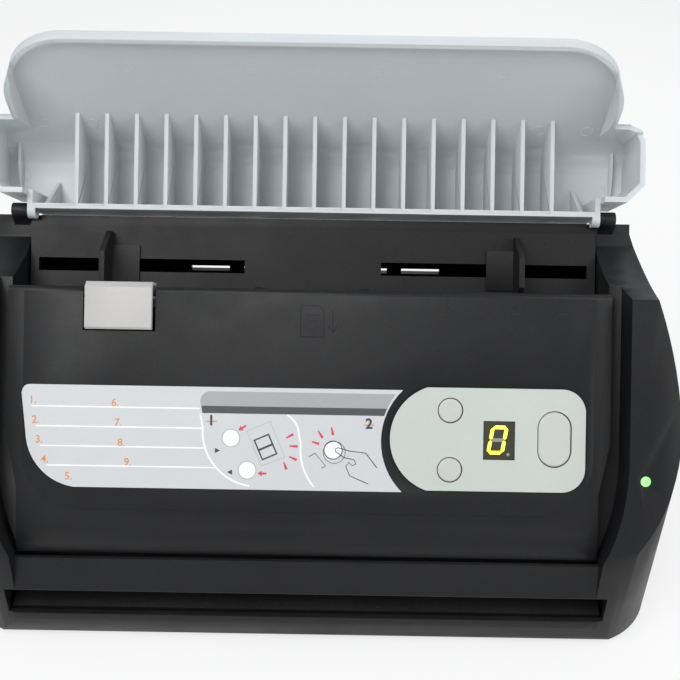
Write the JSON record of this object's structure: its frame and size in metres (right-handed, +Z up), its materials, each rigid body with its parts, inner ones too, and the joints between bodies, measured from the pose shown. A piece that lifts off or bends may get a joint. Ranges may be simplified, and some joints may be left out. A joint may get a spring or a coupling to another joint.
{
  "type": "document scanner",
  "caption": "Compact sheet-fed document scanner, body leaning back, hinged front cover with buttons and a digit display, pale lid open as the sheet tray",
  "frame": {"origin": "middle of the ground rectangle that the open scanner covers, at desk height", "axes": "+X to the right seen from the front, +Y to the back, +Z up; the rest pose has the lid open and the front cover shut"},
  "size_m": [0.262, 0.1296, 0.1948],
  "materials": {
    "black_shell": "fine-grained satin",
    "lid_grey": "satin",
    "lever_grey": "satin",
    "panel_grey": "satin",
    "button_grey": "satin",
    "label_print": "satin",
    "display_dark": "gloss",
    "light_green": "clear",
    "inner_black": "satin",
    "rubber_dark": "matte",
    "roller_rubber": "matte",
    "pad_rubber": "matte",
    "steel": "brushed",
    "plate_steel": "zinc plated",
    "motor_metal": "zinc plated",
    "gear_white": "natural",
    "board_green": "lacquered",
    "sensor_black": "satin",
    "sensor_glass": "clear",
    "socket_metal": "plated",
    "socket_black": "satin"
  },
  "bodies": {
    "casing": {"main_casing": "black_shell", "base_plate": "inner_black", "rubber_feet": "rubber_dark", "base_screws": "steel", "rear_cover": "black_shell", "rear_cover_screws": "steel", "main_board": "board_green", "data_socket": "socket_metal", "power_socket": "socket_black", "side_plate_left": "plate_steel", "side_plate_right": "plate_steel", "drive_motor": "motor_metal", "chute_plate": "inner_black", "lower_guide": "inner_black", "rear_sensor_bar": "sensor_black", "rear_sensor_glass": "sensor_glass", "power_light_lens": "light_green"},
    "lid": {"lid_shell": "lid_grey", "lid_hinge_pins": "steel"},
    "cover": {"front_cover_shell": "black_shell", "front_cover_inner": "inner_black", "front_sensor_bar": "sensor_black", "front_sensor_glass": "sensor_glass", "separation_pad_pin": "steel", "hold_down_pin": "steel", "control_board": "board_green", "display_module": "display_dark", "control_panel": "panel_grey", "function_label": "label_print"},
    "latch": {"release_lever": "lever_grey", "latch_bar": "steel"},
    "guide_left": {"paper_guide_left": "inner_black"},
    "guide_right": {"paper_guide_right": "inner_black"},
    "guide_wheel": {"guide_pinion": "gear_white"},
    "rocker": {"power_switch": "socket_black"},
    "motor_shaft": {"motor_pinion": "steel"},
    "large_idler": {"idler_gear_large": "gear_white"},
    "small_idler": {"idler_gear_small": "gear_white"},
    "transport_roll": {"transport_shaft": "steel", "transport_roller_left": "roller_rubber", "transport_roller_right": "roller_rubber", "transport_gear": "gear_white"},
    "exit_roll": {"exit_shaft": "steel", "exit_roller_left": "roller_rubber", "exit_roller_right": "roller_rubber", "exit_gear": "gear_white"},
    "feed_roll": {"feed_shaft": "steel", "feed_roller": "roller_rubber", "feed_gear": "gear_white"},
    "transport_pinch_roll": {"transport_pinch": "gear_white"},
    "exit_pinch_roll": {"exit_pinch": "gear_white"},
    "pad": {"separation_pad_holder": "inner_black", "separation_pad": "pad_rubber"},
    "finger_left": {"hold_down_finger_left": "inner_black"},
    "finger_right": {"hold_down_finger_right": "inner_black"},
    "up": {"up_button": "button_grey"},
    "down": {"down_button": "button_grey"},
    "scan": {"scan_button": "button_grey"}
  },
  "joints": [
    {"name": "lid_swing", "type": "hinge", "parent": "casing", "child": "lid", "pos_m": [0, 0.03565, 0.12635], "axis": [-1, 0, 0], "range_deg": [-120, 0]},
    {"name": "cover_swing", "type": "hinge", "parent": "casing", "child": "cover", "pos_m": [0, -0.037, 0.03653], "axis": [1, 0, 0], "range_deg": [0, 45]},
    {"name": "lever_lift", "type": "hinge", "parent": "cover", "child": "latch", "pos_m": [0, 0.00016, 0.10878], "axis": [-1, 0, 0], "range_deg": [0, 15], "stiffness_Nm_per_rad": 0.04, "springref_deg": -17.19},
    {"name": "guide_left_slide", "type": "slide", "parent": "casing", "child": "guide_left", "axis": [-1, 0, 0], "range_m": [-0.039, 0.0295]},
    {"name": "guide_right_slide", "type": "slide", "parent": "casing", "child": "guide_right", "axis": [1, 0, 0], "range_m": [-0.039, 0.0295]},
    {"name": "guide_wheel_turn", "type": "hinge", "parent": "casing", "child": "guide_wheel", "pos_m": [0, 0.02519, 0.10895], "axis": [0, -0.8192, 0.5736], "range_deg": [-330, 250]},
    {"name": "rocker_tip", "type": "hinge", "parent": "casing", "child": "rocker", "pos_m": [0.06, 0.0542, 0.055], "axis": [1, 0, 0], "range_deg": [0, 12]},
    {"name": "transport_spin", "type": "hinge", "parent": "casing", "child": "transport_roll", "pos_m": [0, 0.00224, 0.07131], "axis": [1, 0, 0], "continuous": true},
    {"name": "exit_spin", "type": "hinge", "parent": "casing", "child": "exit_roll", "pos_m": [0, -0.01726, 0.04346], "axis": [1, 0, 0], "continuous": true},
    {"name": "feed_spin", "type": "hinge", "parent": "casing", "child": "feed_roll", "pos_m": [0, 0.01722, 0.08572], "axis": [1, 0, 0], "continuous": true},
    {"name": "large_idler_spin", "type": "hinge", "parent": "casing", "child": "large_idler", "pos_m": [-0.116, 0.00637, 0.04766], "axis": [1, 0, 0], "continuous": true},
    {"name": "small_idler_spin", "type": "hinge", "parent": "casing", "child": "small_idler", "pos_m": [-0.116, 0.01742, 0.07052], "axis": [1, 0, 0], "continuous": true},
    {"name": "motor_spin", "type": "hinge", "parent": "casing", "child": "motor_shaft", "pos_m": [-0.11, 0.02275, 0.03619], "axis": [1, 0, 0], "continuous": true},
    {"name": "transport_pinch_spin", "type": "hinge", "parent": "cover", "child": "transport_pinch_roll", "pos_m": [0, -0.00759, 0.07819], "axis": [1, 0, 0], "continuous": true},
    {"name": "exit_pinch_spin", "type": "hinge", "parent": "cover", "child": "exit_pinch_roll", "pos_m": [0, -0.02709, 0.05034], "axis": [1, 0, 0], "continuous": true},
    {"name": "pad_lift", "type": "hinge", "parent": "cover", "child": "pad", "pos_m": [0, -0.00341, 0.08625], "axis": [1, 0, 0], "range_deg": [0, 6], "stiffness_Nm_per_rad": 0.05, "springref_deg": -17.19},
    {"name": "finger_left_lift", "type": "hinge", "parent": "cover", "child": "finger_left", "pos_m": [-0.02, 0.00225, 0.10304], "axis": [1, 0, 0], "range_deg": [0, 10], "stiffness_Nm_per_rad": 0.002, "springref_deg": -17.19},
    {"name": "finger_right_lift", "type": "hinge", "parent": "cover", "child": "finger_right", "pos_m": [0.02, 0.00225, 0.10304], "axis": [1, 0, 0], "range_deg": [0, 10], "stiffness_Nm_per_rad": 0.002, "springref_deg": -17.19},
    {"name": "up_press", "type": "slide", "parent": "cover", "child": "up", "axis": [0, 0.8192, -0.5736], "range_m": [0, 0.001], "stiffness_N_per_m": 400, "springref_m": -0.0008},
    {"name": "down_press", "type": "slide", "parent": "cover", "child": "down", "axis": [0, 0.8192, -0.5736], "range_m": [0, 0.001], "stiffness_N_per_m": 400, "springref_m": -0.0008},
    {"name": "scan_press", "type": "slide", "parent": "cover", "child": "scan", "axis": [0, 0.8192, -0.5736], "range_m": [0, 0.001], "stiffness_N_per_m": 500, "springref_m": -0.0008}
  ],
  "couplings": [
    {"joint": "guide_right_slide", "follows": "guide_left_slide", "ratio": 1},
    {"joint": "guide_wheel_turn", "follows": "guide_left_slide", "rad_per_m": 142.86},
    {"joint": "exit_spin", "follows": "transport_spin", "ratio": 1},
    {"joint": "feed_spin", "follows": "transport_spin", "ratio": 1},
    {"joint": "large_idler_spin", "follows": "transport_spin", "ratio": -0.66667},
    {"joint": "small_idler_spin", "follows": "transport_spin", "ratio": -1.7143},
    {"joint": "motor_spin", "follows": "transport_spin", "ratio": 1.7143}
  ]
}
